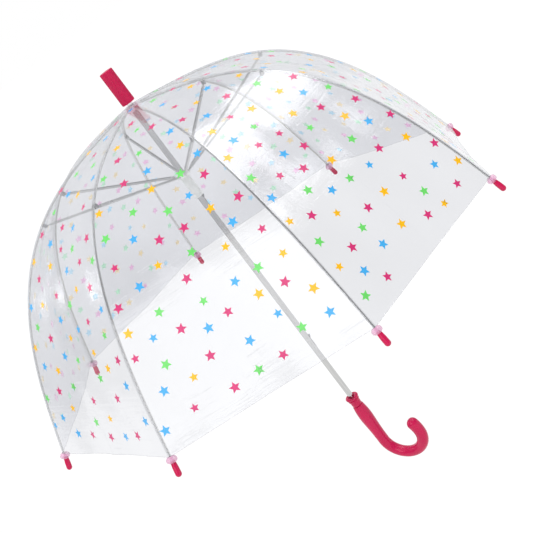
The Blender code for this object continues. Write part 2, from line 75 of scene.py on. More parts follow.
# ---------------------------------------------------------------- the CAD model's own dimensions
JOINTS = {joint["name"]: joint for joint in frame["joints"]}
RIB_COUNT = 8
RIB_STEP = 2 * math.pi / RIB_COUNT
HINGE = Vector(JOINTS["rib_hinge_1"]["pos_m"])
RIB_PHASE = math.atan2(HINGE.y, HINGE.x)
HINGE_R = math.hypot(HINGE.x, HINGE.y)
HINGE_Z = HINGE.z
CROWN_Z = HINGE_Z + 0.005
RIB_LENGTH = 0.485
RIB_FIRST_SLOPE = math.radians(8.0)
RIB_BEND = math.radians(255.0)
FLEX_AT = 0.180
CANOPY_START = -0.0045
CANOPY_END = RIB_LENGTH - 0.0085
CANOPY_LIFT = 0.0021
CROWN_LIFT = 0.0009
CROWN_LIFT_FADE = 0.02
SHAFT_R = 0.004
SHAFT_WALL = 0.0007
GAP = 0.0003                   # running gap between touching pieces
GRIP_HALF = 0.0345
HOOK_BEND_R = 0.031
HOOK_END = 0.0228              # length of the crook beyond its half turn
HOOK_CURL_R = 0.045            # it curls in a little there
CAP_REACH = 0.0155
CAP_BULB = 0.0037              # radius of a tip cap's round end
HEM_R = 0.00045
FLUTES = 28                    # small grip ribs round the ferrule
FLUTE_DEPTH = 0.00028
WINDOW = (0.006, 0.0022)       # the tube's windows, across
WINDOW_SPARE = 0.0016          # and how much longer they are than a catch spring
RIB_SHOULDER = [math.pi * k / 8 for k in range(9)]

SAME_POINT = 0.000002          # points nearer than this are one
SMOOTH_TURNED = math.radians(40)
SMOOTH_CUT = math.radians(38)

FLOOR_DROP = 0.16              # below the crook
FLOOR_HALF = 30.0
BACKDROP_AZIMUTH = 131.0
BACKDROP_RISE = 53.0
CAMERA_AT = (0.8450, -0.9850, 0.6925)
CAMERA_RIGHT = (0.7296, 0.3736, -0.5728)
CAMERA_UP = (0.3047, 0.5723, 0.7614)
CAMERA_LENS = 68.75
LIGHTS_AIM = (0, 0, 0.35)
LIGHTS_AWAY = 2.2

# ---------------------------------------------------------------- the film and its print
FILM = 0.0002                  # thickness
RIM_ANGLE = math.radians(50)   # sharper edges than this are not smoothed over
FOLD_LINES = 0.40              # height of the fine fold lines, as a share of the wider wrinkles
STAR_R = 0.0068
STAR_WAIST = 0.46              # inner corners' share of the points' radius
STAR_SPACING = 0.0275
STAR_HEM = 0.022               # clear border at the hem
STAR_START = 0.012             # clear length at the crown
STAR_TRIES = 9000
STAR_SEED = 7000
RIPPLE_SEED = 100
INK = 0.00004
INK_CLEARANCE = 0.00003        # between the film and its ink
FILM_ROWS = 34
FILM_COLUMNS = 13
WELD_START = 0.012
WELD_ROWS = 60
HEM_POINTS = 24
INKS = {
    "magenta": ((0.66, 0.030, 0.175), (0.95, 0.56, 0.80)),
    "sky": ((0.055, 0.41, 0.82), (0.48, 0.80, 0.97)),
    "sunflower": ((0.93, 0.50, 0.005), (1.0, 0.80, 0.46)),
    "leaf": ((0.155, 0.69, 0.14), (0.54, 0.92, 0.64)),
}
PAINTED_INK_GLOW = (0.02, 0.45)        # painted light: ink emission that stands in for light coming through the ink, seen from outside and from inside


# ---------------------------------------------------------------- the rib's curve and the film on it
def rib_slope(s):
    """Angle below the horizontal at a distance s along the rib."""
    rising = RIB_BEND * np.clip(s, 0.0, FLEX_AT) ** 2 / (2 * FLEX_AT)
    over = np.clip(s, FLEX_AT, RIB_LENGTH) - FLEX_AT
    falling = RIB_BEND * (over - over ** 2 / (2 * (RIB_LENGTH - FLEX_AT)))
    return RIB_FIRST_SLOPE + rising + falling


def rib_table():
    """Stations along the rib's middle line with their radius and height."""
    along = np.linspace(-0.01, RIB_LENGTH + 0.01, 4001)
    middle = (along[1:] + along[:-1]) / 2
    pieces = np.diff(along)
    radius = np.concatenate([[0.0], np.cumsum(np.cos(rib_slope(middle)) * pieces)])
    height = np.concatenate([[0.0], -np.cumsum(np.sin(rib_slope(middle)) * pieces)])
    radius += HINGE_R - np.interp(0.0, along, radius)
    height += HINGE_Z - np.interp(0.0, along, height)
    return along, radius, height


ALONG, RADIUS, HEIGHT = rib_table()


def rib_line(s, lift=0.0):
    """Radius and height at s along the rib, moved outwards by lift."""
    s = np.asarray(s, float)
    slope = rib_slope(s)
    radius = np.interp(s, ALONG, RADIUS) + lift * np.sin(slope)
    height = np.interp(s, ALONG, HEIGHT) + lift * np.cos(slope)
    return radius, height


def film_line(s):
    """Radius and height of the film's middle over a rib."""
    s = np.asarray(s, float)
    return rib_line(s, CANOPY_LIFT + CROWN_LIFT * np.exp(-np.maximum(s, 0.0) / CROWN_LIFT_FADE))


def rib_turn(index):
    return RIB_PHASE + index * RIB_STEP


def gore_width(s):
    return 2 * film_line(s)[0] * math.sin(RIB_STEP / 2)


def ripple(index, s, t):
    """How far the film stands off its flat ruling: long, shallow waves that die out at the ribs."""
    draw = np.random.default_rng(RIPPLE_SEED + index)
    across = (t - 0.5) * gore_width(s)
    total = np.zeros_like(across)
    for wave in range(6):
        pitch = 0.040 + 0.020 * wave
        heading = draw.uniform(-0.9, 0.9)
        phase = draw.uniform(0, 2 * math.pi)
        travel = across * math.cos(heading) + s * math.sin(heading)
        total += pitch * 0.0042 * np.sin(2 * math.pi * travel / pitch + phase)
    edge = np.clip(np.sin(math.pi * np.clip(t, 0, 1)), 0, 1) ** 0.8
    crown = np.clip((s - 0.01) / 0.08, 0, 1)
    sag = -0.0035 * np.clip(np.sin(math.pi * np.clip(t, 0, 1)), 0, 1) * np.clip(s / RIB_LENGTH, 0, 1)
    return (total * crown + sag) * edge


def film_points(index, s, t, off=0.0):
    """Points on gore index at s along the ribs and share t across it, off metres out from the film."""
    s = np.asarray(s, float)
    t = np.asarray(t, float)
    radius, height = film_line(s)
    step = 0.0005
    ahead, behind = film_line(s + step), film_line(s - step)
    out = (ahead[0] - behind[0]) * math.cos(RIB_STEP / 2)
    down = behind[1] - ahead[1]
    size = np.hypot(out, down)
    near, far = rib_turn(index), rib_turn(index + 1)
    middle = (near + far) / 2
    x = radius * (math.cos(near) * (1 - t) + math.cos(far) * t)
    y = radius * (math.sin(near) * (1 - t) + math.sin(far) * t)
    stand = ripple(index, s, t) + off
    x = x + stand * down / size * math.cos(middle)
    y = y + stand * down / size * math.sin(middle)
    z = height + stand * out / size
    return np.stack([x, y, z], axis=-1)


# ---------------------------------------------------------------- mesh helpers
def place_mesh(name, mesh):
    piece = bpy.data.objects.new(name, mesh)
    bpy.context.scene.collection.objects.link(piece)
    return piece


def face_outwards(mesh, merge=False):
    """Turns every face outwards; merge first joins the points that lie on each other."""
    solid = bmesh.new()
    solid.from_mesh(mesh)
    if merge:
        bmesh.ops.remove_doubles(solid, verts=solid.verts, dist=SAME_POINT)
    bmesh.ops.recalc_face_normals(solid, faces=solid.faces)
    solid.to_mesh(mesh)
    solid.free()


def new_object(name, verts, faces, materials, smooth=True):
    mesh = bpy.data.meshes.new(name)
    mesh.from_pydata([tuple(map(float, v)) for v in verts], [], faces)
    mesh.validate()
    for material in materials:
        mesh.materials.append(material)
    if smooth:
        mesh.shade_smooth()
    mesh.update()
    return place_mesh(name, mesh)


def shell(rows, cols, outer, inner):
    """Vertices and faces of a closed sheet between two grids of points, (rows, cols, 3) each."""
    count = rows * cols
    verts = np.concatenate([outer.reshape(-1, 3), inner.reshape(-1, 3)])
    faces = []
    for r in range(rows - 1):
        for c in range(cols - 1):
            a = r * cols + c
            faces.append((a, a + cols, a + cols + 1, a + 1))
            faces.append((count + a, count + a + 1, count + a + cols + 1, count + a + cols))
    rim = [c for c in range(cols)]
    rim += [r * cols + cols - 1 for r in range(1, rows)]
    rim += [(rows - 1) * cols + c for c in reversed(range(cols - 1))]
    rim += [r * cols for r in reversed(range(1, rows - 1))]
    for a, b in zip(rim, rim[1:] + rim[:1]):
        faces.append((a, b, count + b, count + a))
    return verts, faces


def tube_along(name, path, radii, sides, materials):
    """A round tube with closed ends along a list of points, with a radius at each."""
    curve = bpy.data.curves.new(name, "CURVE")
    curve.dimensions = "3D"
    curve.bevel_depth = 1.0
    curve.bevel_resolution = sides // 2 - 2
    curve.use_fill_caps = True
    spline = curve.splines.new("POLY")
    spline.points.add(len(path) - 1)
    for point, place, radius in zip(spline.points, path, radii):
        point.co = (*place, 1)
        point.radius = radius
    source = bpy.data.objects.new(name + "_line", curve)
    bpy.context.scene.collection.objects.link(source)
    bpy.context.view_layer.update()
    mesh = bpy.data.meshes.new_from_object(source.evaluated_get(bpy.context.evaluated_depsgraph_get()))
    bpy.data.objects.remove(source)
    weld = bmesh.new()
    weld.from_mesh(mesh)
    bmesh.ops.remove_doubles(weld, verts=weld.verts, dist=SAME_POINT)
    weld.to_mesh(mesh)
    weld.free()
    mesh.materials.clear()
    for material in materials:
        mesh.materials.append(material)
    mesh.shade_smooth()
    mesh.name = name
    return place_mesh(name, mesh)


def turned(name, profile, steps, materials, ripple_count=0, ripple_depth=0.0, rippled=()):
    """A closed profile of (radius, height) points turned round Z; rippled lists the points that flute."""
    verts, faces = [], []
    count = len(profile)
    for k in range(steps):
        angle = 2 * math.pi * k / steps
        for i, (radius, height) in enumerate(profile):
            if i in rippled:
                radius += ripple_depth * math.cos(ripple_count * angle)
            verts.append((radius * math.cos(angle), radius * math.sin(angle), height))
    for k in range(steps):
        here, there = k * count, (k + 1) % steps * count
        for i in range(count):
            j = (i + 1) % count
            faces.append((here + i, here + j, there + j, there + i))
    piece = new_object(name, verts, faces, materials)
    face_outwards(piece.data, merge=True)
    piece.data.shade_smooth()
    piece.data.set_sharp_from_angle(angle=SMOOTH_TURNED)
    return piece


def arc(x, z, radius, first, last, count):
    """Points on an arc, in degrees, ends included."""
    angles = np.radians(np.linspace(first, last, count))
    return [(x + radius * math.cos(a), z + radius * math.sin(a)) for a in angles]


# ---------------------------------------------------------------- materials
def blank_material(name):
    material = bpy.data.materials.new(name)
    material.use_nodes = True
    tree = material.node_tree
    tree.nodes.clear()
    output = tree.nodes.new("ShaderNodeOutputMaterial")
    return material, tree, output


def principled(tree, colour, roughness, metallic=0.0):
    shader = tree.nodes.new("ShaderNodeBsdfPrincipled")
    shader.inputs["Base Color"].default_value = (*colour, 1)
    shader.inputs["Roughness"].default_value = roughness
    shader.inputs["Metallic"].default_value = metallic
    return shader


def noise(tree, scale, detail=3.0, coordinate="Object", stretch=(1, 1, 1), rough=0.5):
    place = tree.nodes.new("ShaderNodeTexCoord")
    mapping = tree.nodes.new("ShaderNodeMapping")
    mapping.inputs["Scale"].default_value = stretch
    texture = tree.nodes.new("ShaderNodeTexNoise")
    texture.inputs["Scale"].default_value = scale
    texture.inputs["Detail"].default_value = detail
    texture.inputs["Roughness"].default_value = rough
    tree.links.new(place.outputs[coordinate], mapping.inputs["Vector"])
    tree.links.new(mapping.outputs["Vector"], texture.inputs["Vector"])
    return texture.outputs["Fac"]


def spread(tree, value, low, high):
    """Maps a 0..1 value to low..high."""
    node = tree.nodes.new("ShaderNodeMapRange")
    node.inputs["From Min"].default_value = 0.25
    node.inputs["From Max"].default_value = 0.75
    node.inputs["To Min"].default_value = low
    node.inputs["To Max"].default_value = high
    tree.links.new(value, node.inputs["Value"])
    return node.outputs["Result"]


def shade_between(tree, value, dark, light):
    ramp = tree.nodes.new("ShaderNodeValToRGB")
    ramp.color_ramp.elements[0].position = 0.3
    ramp.color_ramp.elements[0].color = (*dark, 1)
    ramp.color_ramp.elements[1].position = 0.7
    ramp.color_ramp.elements[1].color = (*light, 1)
    tree.links.new(value, ramp.inputs["Fac"])
    return ramp.outputs["Color"]


def bump(tree, value, strength, distance):
    node = tree.nodes.new("ShaderNodeBump")
    node.inputs["Strength"].default_value = strength
    node.inputs["Distance"].default_value = distance
    tree.links.new(value, node.inputs["Height"])
    return node.outputs["Normal"]


def moulded_plastic(name, colour, roughness):
    """Injection-moulded plastic: faint flow marks in colour and gloss, and a very fine grain."""
    material, tree, output = blank_material(name)
    shader = principled(tree, colour, roughness)
    flow = noise(tree, 45, 4, stretch=(1, 1, 0.35))
    dark = tuple(c * 0.90 for c in colour)
    light = tuple(min(1.0, c * 1.07 + 0.004) for c in colour)
    tree.links.new(shade_between(tree, flow, dark, light), shader.inputs["Base Color"])
    uneven = spread(tree, noise(tree, 160, 3), roughness * 0.8, roughness * 1.35)
    tree.links.new(uneven, shader.inputs["Roughness"])
    tree.links.new(bump(tree, noise(tree, 900, 2), 0.04, 0.0001), shader.inputs["Normal"])
    shader.inputs["Specular IOR Level"].default_value = 0.3
    tree.links.new(shader.outputs["BSDF"], output.inputs["Surface"])
    return material


def metal(name, dark, light, roughness, grain=(30, 30, 1.5), depth=0.00003, metallic=1.0):
    """Drawn or pressed steel: fine marks along the length and a slightly uneven shine."""
    material, tree, output = blank_material(name)
    shader = principled(tree, light, roughness, metallic)
    lines = noise(tree, 60, 4, stretch=grain)
    tree.links.new(shade_between(tree, lines, dark, light), shader.inputs["Base Color"])
    uneven = spread(tree, noise(tree, 70, 4), roughness * 0.7, roughness * 1.5)
    tree.links.new(uneven, shader.inputs["Roughness"])
    tree.links.new(bump(tree, lines, 0.15, depth), shader.inputs["Normal"])
    tree.links.new(shader.outputs["BSDF"], output.inputs["Surface"])
    return material


def facing_power(tree, straight, grazing):
    """Mirror share of a clear surface: straight on, rising to grazing at the edge, the same on both sides."""
    weight = tree.nodes.new("ShaderNodeLayerWeight")
    weight.inputs["Blend"].default_value = 0.5
    power = tree.nodes.new("ShaderNodeMath")
    power.operation = "POWER"
    power.inputs[1].default_value = 4.0
    tree.links.new(weight.outputs["Facing"], power.inputs[0])
    node = tree.nodes.new("ShaderNodeMapRange")
    node.inputs["To Min"].default_value = straight
    node.inputs["To Max"].default_value = grazing
    tree.links.new(power.outputs["Value"], node.inputs["Value"])
    return node.outputs["Result"]


def clear_film(name, tint, straight, grazing, roughness, wrinkle):
    """Clear soft vinyl: light passes, and a thin gloss mirrors the room in wrinkles and fold lines."""
    material, tree, output = blank_material(name)
    clear = tree.nodes.new("ShaderNodeBsdfTransparent")
    haze = noise(tree, 5, 5, coordinate="UV", stretch=(1, 0.6, 1))
    light = tuple(min(1.0, c + 0.022) for c in tint)
    dark = tuple(c - 0.022 for c in tint)
    tree.links.new(shade_between(tree, haze, dark, light), clear.inputs["Color"])
    gloss = tree.nodes.new("ShaderNodeBsdfAnisotropic")
    gloss.inputs["Color"].default_value = (1, 1, 1, 1)
    gloss.inputs["Roughness"].default_value = roughness
    creases = noise(tree, 22, 5, coordinate="UV", stretch=(1.6, 0.55, 1), rough=0.55)
    folds = noise(tree, 30, 3, coordinate="UV", stretch=(0.35, 6.0, 1), rough=0.45)
    both = tree.nodes.new("ShaderNodeMath")
    both.operation = "MULTIPLY_ADD"
    both.inputs[1].default_value = FOLD_LINES
    tree.links.new(folds, both.inputs[0])
    tree.links.new(creases, both.inputs[2])
    normal = bump(tree, both.outputs["Value"], wrinkle, 0.004)
    tree.links.new(normal, gloss.inputs["Normal"])
    mix = tree.nodes.new("ShaderNodeMixShader")
    tree.links.new(facing_power(tree, straight, grazing), mix.inputs["Fac"])
    tree.links.new(clear.outputs["BSDF"], mix.inputs[1])
    tree.links.new(gloss.outputs["BSDF"], mix.inputs[2])
    tree.links.new(mix.outputs["Shader"], output.inputs["Surface"])
    return material


def printed_ink(name, colour, roughness, glow):
    """Screen ink under the film's gloss, a little uneven where it was laid; glow is painted light, an
    emission that stands in for light coming through it.
    """
    material, tree, output = blank_material(name)
    shader = principled(tree, colour, roughness)
    dark = tuple(c * 0.94 for c in colour)
    light = tuple(min(1.0, c * 1.05) for c in colour)
    laid = shade_between(tree, noise(tree, 260, 3), dark, light)
    tree.links.new(laid, shader.inputs["Base Color"])
    # painted light: the ink's own colour glows, standing in for light that comes through the ink
    tree.links.new(laid, shader.inputs["Emission Color"])
    shader.inputs["Emission Strength"].default_value = glow
    uneven = spread(tree, noise(tree, 90, 3), roughness * 0.8, roughness * 1.3)
    tree.links.new(uneven, shader.inputs["Roughness"])
    tree.links.new(bump(tree, noise(tree, 1500, 2), 0.1, 0.0001), shader.inputs["Normal"])
    tree.links.new(shader.outputs["BSDF"], output.inputs["Surface"])
    return material


def tinted_clear(name, colour, roughness, share, glow=0.0):
    """See-through plastic: share of it is seen, the rest lets light by; glow is painted light, an emission
    that stands in for light scattered in it.
    """
    material, tree, output = blank_material(name)
    shader = principled(tree, colour, roughness)
    dark = tuple(c * 0.92 for c in colour)
    light = tuple(min(1.0, c * 1.06) for c in colour)
    tree.links.new(shade_between(tree, noise(tree, 200, 3), dark, light), shader.inputs["Base Color"])
    tree.links.new(bump(tree, noise(tree, 500, 2), 0.15, 0.0002), shader.inputs["Normal"])
    shader.inputs["Alpha"].default_value = share
    # painted light: the plastic's own colour glows by glow, standing in for light scattered in it
    shader.inputs["Emission Color"].default_value = (*colour, 1)
    shader.inputs["Emission Strength"].default_value = glow
    tree.links.new(shader.outputs["BSDF"], output.inputs["Surface"])
    return material


PINK = moulded_plastic("pink_plastic", (0.60, 0.008, 0.082), 0.13)
PINK_FERRULE = moulded_plastic("ferrule_plastic", (0.59, 0.004, 0.075), 0.34)
PINK_CLEAR = tinted_clear("clear_pink_plastic", (0.86, 0.46, 0.68), 0.18, 0.55)
# painted light: glow 0.4 brightens the clear crown hub and washer where they sit in shade under the ferrule
CROWN_CLEAR = tinted_clear("crown_clear_plastic", (0.95, 0.84, 0.91), 0.15, 0.22, glow=0.4)
# painted light: glow 0.14 brightens the milky runner, which sits in the canopy's shade
MILKY = tinted_clear("runner_plastic", (0.88, 0.89, 0.87), 0.30, 0.7, glow=0.14)
CHROME = metal(
    "shaft_chrome", (0.50, 0.50, 0.50), (0.64, 0.64, 0.63), 0.06, grain=(20, 20, 0.6), depth=0.00001
)
RIB_STEEL = metal("rib_steel", (0.62, 0.62, 0.60), (0.84, 0.84, 0.82), 0.16, metallic=0.8)
ARM_STEEL = metal("stretcher_steel", (0.50, 0.50, 0.50), (0.70, 0.70, 0.69), 0.34, metallic=0.6)
SPRING_STEEL = metal("spring_steel", (0.26, 0.26, 0.27), (0.46, 0.46, 0.47), 0.30)
FILM_LOOK = clear_film("clear_vinyl", (0.906, 0.909, 0.922), 0.050, 0.60, 0.05, 0.30)
WELD_LOOK = clear_film("welded_vinyl", (0.93, 0.93, 0.935), 0.07, 0.70, 0.07, 0.3)
INK_LOOKS = {
    name: (
        printed_ink(name + "_ink", face, 0.16, PAINTED_INK_GLOW[0]),
        printed_ink(name + "_ink_back", back, 0.4, PAINTED_INK_GLOW[1]),
    )
    for name, (face, back) in INKS.items()
}


# ---------------------------------------------------------------- canopy
def film_piece(name, index, s_range, t_range, rows, cols):
    """One length of a gore as a thin closed sheet, with a UV map in metres for its wrinkles."""
    s = np.linspace(*s_range, rows)[:, None] * np.ones((1, cols))
    t = np.linspace(*t_range, cols)[None, :] * np.ones((rows, 1))
    outer = film_points(index, s, t, FILM / 2)
    inner = film_points(index, s, t, -FILM / 2)
    verts, faces = shell(rows, cols, outer, inner)
    piece = new_object(name, verts, faces, [FILM_LOOK])
    piece.data.set_sharp_from_angle(angle=RIM_ANGLE)
    layer = piece.data.uv_layers.new(name="film_metres")
    flat_u = ((t - 0.5) * gore_width(s)).ravel()
    flat_v = s.ravel()
    count = rows * cols
    for loop in piece.data.loops:
        k = loop.vertex_index % count
        layer.data[loop.index].uv = (flat_u[k] + 0.4 * index, flat_v[k])
    return piece


def fold(piece):
    """Gives the piece a mesh of its own; the gore is not flattened on its rib here."""
    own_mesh(piece)


LENGTHS = {"upper": (CANOPY_START, FLEX_AT), "lower": (FLEX_AT, CANOPY_END)}
BODIES = {"upper": "rib_{}", "lower": "rib_outer_{}"}


def star_outline(count=5):
    """Corners of a star of radius 1 about the origin."""
    corners = []
    for k in range(2 * count):
        reach = 1.0 if k % 2 == 0 else STAR_WAIST
        corners.append((reach * math.cos(math.pi * k / count), reach * math.sin(math.pi * k / count)))
    return corners


STAR = star_outline()


def scatter_stars(index):
    """Seeded places for the stars on a gore: (s, across, size, turn, ink), evenly spread but not in rows."""
    draw = random.Random(STAR_SEED + index)
    names = list(INKS)
    stars = []
    for _ in range(STAR_TRIES):
        s = draw.uniform(STAR_START, CANOPY_END - STAR_HEM)
        half = gore_width(s) / 2 - STAR_R - 0.001
        if half < 0:
            continue
        across = draw.uniform(-1, 1) * gore_width(CANOPY_END) / 2
        if abs(across) > half:
            continue
        gaps = [math.hypot(s - other[0], across - other[1]) for other in stars]
        if gaps and min(gaps) < STAR_SPACING:
            continue
        near = {star[4] for star, gap in zip(stars, gaps) if gap < 1.5 * STAR_SPACING}
        choice = [name for name in names if name not in near] or list(names)
        size = STAR_R * draw.choice([1.0, 1.0, 0.94, 0.82])
        if "magenta" in choice:
            choice.append("magenta")
        stars.append((s, across, size, draw.uniform(0, 2 * math.pi), draw.choice(choice)))
    return stars


def print_piece(name, index, stars):
    """The stars of one length of film, as thin patches of ink that follow its surface."""
    verts, faces, looks = [], [], []
    materials = [look for pair in INK_LOOKS.values() for look in pair]
    order = {ink: 2 * k for k, ink in enumerate(INK_LOOKS)}
    for s, across, size, turn, ink in stars:
        c, d = math.cos(turn), math.sin(turn)
        ring = [(x * c - y * d, x * d + y * c) for x, y in STAR]
        flat = [(0.0, 0.0)] + [(0.5 * x, 0.5 * y) for x, y in ring] + ring
        along = np.array([s + size * y for x, y in flat])
        share = 0.5 + np.array([across + size * x for x, y in flat]) / gore_width(along)
        top = film_points(index, along, share, FILM / 2 + INK_CLEARANCE + INK)
        low = film_points(index, along, share, FILM / 2 + INK_CLEARANCE)
        base = len(verts)
        count = len(flat)
        verts += [tuple(v) for v in top] + [tuple(v) for v in low]
        corners = len(STAR)
        rim = 1 + corners
        under = base + count
        for k in range(corners):
            n = (k + 1) % corners
            faces.append((base, base + 1 + n, base + 1 + k))
            faces.append((base + 1 + k, base + 1 + n, base + rim + n, base + rim + k))
            looks += [order[ink]] * 2
            faces.append((under, under + 1 + k, under + 1 + n))
            faces.append((under + 1 + n, under + 1 + k, under + rim + k, under + rim + n))
            looks += [order[ink] + 1] * 2
            faces.append((base + rim + k, base + rim + n, under + rim + n, under + rim + k))
            looks.append(order[ink])
    piece = new_object(name, verts, faces, materials, smooth=False)
    piece.data.polygons.foreach_set("material_index", looks)
    face_outwards(piece.data)
    return piece


def make_canopy():
    for index in range(RIB_COUNT):
        stars = scatter_stars(index)
        for length, (start, stop) in LENGTHS.items():
            for half, (t_range, side) in enumerate((((0.0, 0.5), 1), ((0.5, 1.0), -1))):
                rib = (index + half) % RIB_COUNT
                label = f"{length}_{index + 1}{'ab'[half]}"
                film = film_piece("film_" + label, index, (start, stop), t_range, FILM_ROWS, FILM_COLUMNS)
                mine = [
                    star
                    for star in stars
                    if start <= star[0] < stop and (star[1] >= 0) == bool(half)
                ]
                body = BODIES[length].format(rib + 1)
                pieces = [film]
                if mine:
                    pieces.append(print_piece("stars_" + label, index, mine))
                for piece in pieces:
                    fold(piece)
                    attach(piece, body)
                if length == "lower" and half == 0:
                    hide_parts(f"canopy_panel_{index + 1}")


# ---------------------------------------------------------------- camera, floor and light
def make_camera():
    data = bpy.data.cameras.new("camera")
    camera = bpy.data.objects.new("camera", data)
    bpy.context.scene.collection.objects.link(camera)
    right = Vector(CAMERA_RIGHT)
    up = Vector(CAMERA_UP)
    back = right.cross(up).normalized()
    up = back.cross(right).normalized()
    turn = Matrix((right, up, back)).transposed().to_4x4()
    camera.matrix_world = Matrix.Translation(CAMERA_AT) @ turn
    data.sensor_width = 36
    data.lens = CAMERA_LENS
    data.clip_start = 0.01
    data.clip_end = 50
    bpy.context.scene.camera = camera


def area_light(name, place, target, width, height, power):
    data = bpy.data.lights.new(name, "AREA")
    data.shape = "RECTANGLE"
    data.size = width
    data.size_y = height
    data.energy = power
    lamp = bpy.data.objects.new(name, data)
    lamp.location = place
    lamp.rotation_mode = "QUATERNION"
    lamp.rotation_quaternion = (Vector(target) - Vector(place)).to_track_quat("-Z", "Y")
    lamp.visible_diffuse = False
    bpy.context.scene.collection.objects.link(lamp)


def make_floor():
    """An evenly glowing white table with a faint matt finish, so that shadows on it stay soft."""
    material, tree, output = blank_material("floor_paint")
    matt = tree.nodes.new("ShaderNodeBsdfDiffuse")
    mottled = shade_between(tree, noise(tree, 3, 3), (0.075, 0.075, 0.075), (0.080, 0.080, 0.080))
    tree.links.new(mottled, matt.inputs["Color"])
    glow = tree.nodes.new("ShaderNodeEmission")
    glow.inputs["Strength"].default_value = 0.96
    both = tree.nodes.new("ShaderNodeAddShader")
    tree.links.new(matt.outputs["BSDF"], both.inputs[0])
    tree.links.new(glow.outputs["Emission"], both.inputs[1])
    tree.links.new(both.outputs["Shader"], output.inputs["Surface"])
    half = FLOOR_HALF
    z = CAD_LOW.z - FLOOR_DROP
    corners = [(-half, -half, z), (half, -half, z), (half, half, z), (-half, half, z)]
    new_object("floor", corners, [(0, 1, 2, 3)], [material], smooth=False)


def make_world():
    """A white backdrop behind the umbrella and a dim room in front; past the floor the camera sees white."""
    world = bpy.data.worlds.new("studio")
    world.use_nodes = True
    tree = world.node_tree
    tree.nodes.clear()
    output = tree.nodes.new("ShaderNodeOutputWorld")
    path = tree.nodes.new("ShaderNodeLightPath")
    place = tree.nodes.new("ShaderNodeTexCoord")
    toward = tree.nodes.new("ShaderNodeVectorMath")
    toward.operation = "DOT_PRODUCT"
    toward.inputs[1].default_value = direction(BACKDROP_AZIMUTH, BACKDROP_RISE)
    tree.links.new(place.outputs["Generated"], toward.inputs[0])
    level = tree.nodes.new("ShaderNodeMapRange")
    level.inputs["From Min"].default_value = 0.20
    level.inputs["From Max"].default_value = 0.62
    level.inputs["To Min"].default_value = 0.33
    level.inputs["To Max"].default_value = 0.95
    tree.links.new(toward.outputs["Value"], level.inputs["Value"])
    room = tree.nodes.new("ShaderNodeBackground")
    room.inputs["Color"].default_value = (0.98, 0.99, 1.0, 1)
    tree.links.new(level.outputs["Result"], room.inputs["Strength"])
    seen = tree.nodes.new("ShaderNodeBackground")
    seen.inputs["Color"].default_value = (1, 1, 1, 1)
    mix = tree.nodes.new("ShaderNodeMixShader")
    tree.links.new(path.outputs["Is Camera Ray"], mix.inputs["Fac"])
    tree.links.new(room.outputs["Background"], mix.inputs[1])
    tree.links.new(seen.outputs["Background"], mix.inputs[2])
    tree.links.new(mix.outputs["Shader"], output.inputs["Surface"])
    bpy.context.scene.world = world


def direction(azimuth, elevation):
    a, e = math.radians(azimuth), math.radians(elevation)
    return Vector((math.cos(a) * math.cos(e), math.sin(a) * math.cos(e), math.sin(e)))


def softbox(name, azimuth, elevation, width, height, radiance):
    """An even rectangular light that faces the canopy; radiance is how bright its face looks."""
    target = Vector(LIGHTS_AIM)
    place = target + direction(azimuth, elevation) * LIGHTS_AWAY
    area_light(name, place, target, width, height, radiance * math.pi * width * height)


def make_lights():
    sun = bpy.data.lights.new("ceiling", "SUN")
    sun.energy = 1.9
    sun.angle = math.radians(50)
    lamp = bpy.data.objects.new("ceiling", sun)
    lamp.rotation_mode = "QUATERNION"
    lamp.rotation_quaternion = (-direction(-60.0, 52.0)).to_track_quat("-Z", "Y")
    lamp.visible_glossy = False
    bpy.context.scene.collection.objects.link(lamp)
    softbox("top_box", 50, 58, 1.5, 1.0, 3.2)
    softbox("front_box", -80, 22, 1.6, 1.3, 1.9)
    softbox("strip_box", -165, 40, 0.25, 1.6, 3.0)
    softbox("side_box", 20, 42, 0.3, 1.2, 2.5)


def recolour(nodes, material):
    for name in nodes:
        node = frame["nodes"][name]
        node.data.materials.clear()
        node.data.materials.append(material)


# ---------------------------------------------------------------- frame, handle and fittings
def swept(name, path, section, material):
    """A closed section of (side, out) points swept along (radius, height) points with unit outward tilts."""
    count = len(section)
    verts = []
    for (radius, height), (out_r, out_z) in path:
        verts += [(radius + out * out_r, side, height + out * out_z) for side, out in section]
    faces = []
    for k in range(len(path) - 1):
        here, there = k * count, (k + 1) * count
        for i in range(count):
            j = (i + 1) % count
            faces.append((here + i, here + j, there + j, there + i))
    faces.append(tuple(reversed(range(count))))
    faces.append(tuple((len(path) - 1) * count + i for i in range(count)))
    piece = new_object(name, verts, faces, [material])
    face_outwards(piece.data)
    piece.data.shade_smooth()
    piece.data.set_sharp_from_angle(angle=RIM_ANGLE)
    return piece


def rib_path(start, stop, count):
    stations = np.linspace(start, stop, count)
    radius, height = rib_line(stations)
    slope = rib_slope(stations)
    return [((r, z), (math.sin(a), math.cos(a))) for r, z, a in zip(radius, height, slope)]


def channel_section(half_width, half_depth, wall):
    """A folded strip, open below, with rounded shoulders."""
    crown = 0.6 * half_depth
    outer = [(half_width * math.cos(a), half_depth - crown + crown * math.sin(a)) for a in RIB_SHOULDER]
    inner_width, inner_crown = half_width - wall, crown * 0.6
    top = half_depth - wall - inner_crown
    inner = [(inner_width * math.cos(a), top + inner_crown * math.sin(a)) for a in reversed(RIB_SHOULDER)]
    return [(half_width, -half_depth)] + outer + [(-half_width, -half_depth), (-inner_width, -half_depth)] + (
        inner + [(inner_width, -half_depth)]
    )


def copy_round(piece, name, index):
    """Another of a piece made at turn 0, placed over rib index."""
    mesh = piece.data.copy()
    mesh.transform(Matrix.Rotation(rib_turn(index), 4, "Z"))
    return place_mesh(name, mesh)


def joined(name, pieces):
    """One mesh from several objects, which are removed."""
    whole = bmesh.new()
    looks = list(pieces[0].data.materials)
    for piece in pieces:
        whole.from_mesh(piece.data)
    mesh = bpy.data.meshes.new(name)
    whole.to_mesh(mesh)
    whole.free()
    for look in looks:
        mesh.materials.append(look)
    for piece in pieces:
        bpy.data.objects.remove(piece)
    return place_mesh(name, mesh)


